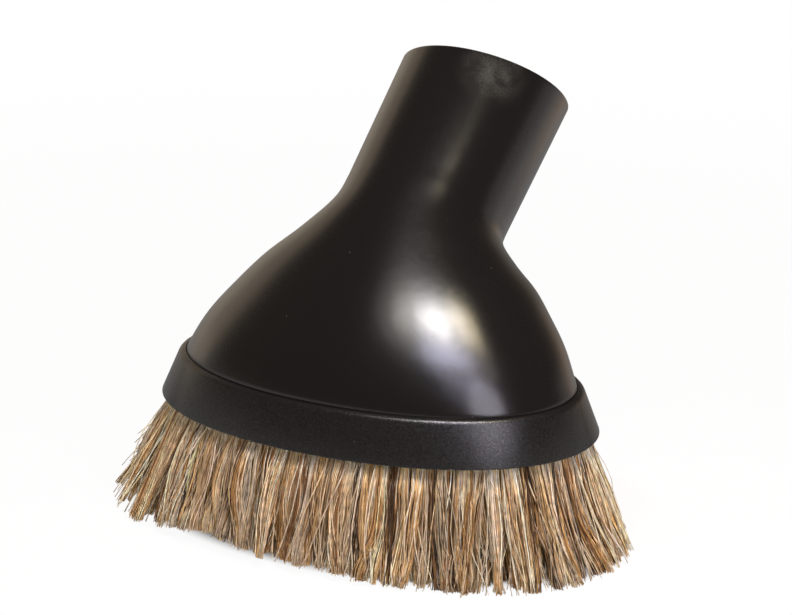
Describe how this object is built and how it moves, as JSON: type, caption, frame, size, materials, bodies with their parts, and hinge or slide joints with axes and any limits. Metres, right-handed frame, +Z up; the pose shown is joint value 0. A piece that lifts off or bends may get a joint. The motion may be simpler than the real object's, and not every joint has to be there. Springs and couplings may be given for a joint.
{
  "type": "dusting brush",
  "caption": "Oval vacuum dusting brush: a black domed shell with a leaning round wand socket, a flared skirt band and a ring of natural hair.",
  "frame": {"origin": "on the surface the hair's tips stand on, under the middle of the brush's overall box", "axes": "+Z up, X along the long axis of the oval, and the neck leans to +Y"},
  "size_m": [0.1108, 0.1006, 0.0955],
  "materials": {
    "shell_plastic": "black moulded plastic, satin gloss with a fine orange-peel texture",
    "band_plastic": "black moulded plastic, a little duller than the shell",
    "clamp_plastic": "black moulded plastic",
    "galvanised_strip": "galvanised folded strip",
    "steel_wire": "bright drawn wire",
    "natural_hair": "mixed natural hair, beige to dark brown and grey, trimmed flat at the tips"
  },
  "bodies": {
    "root": {"body_shell": "shell_plastic", "skirt_band": "band_plastic", "clamp_ring": "clamp_plastic", "strip_channel": "galvanised_strip", "core_wire": "steel_wire", "hair_01": "natural_hair", "hair_02": "natural_hair", "hair_03": "natural_hair", "hair_04": "natural_hair", "hair_05": "natural_hair", "hair_06": "natural_hair", "hair_07": "natural_hair", "hair_08": "natural_hair", "hair_09": "natural_hair", "hair_10": "natural_hair", "hair_11": "natural_hair", "hair_12": "natural_hair", "hair_13": "natural_hair", "hair_14": "natural_hair", "hair_15": "natural_hair", "hair_16": "natural_hair", "hair_17": "natural_hair", "hair_18": "natural_hair"}
  },
  "joints": []
}
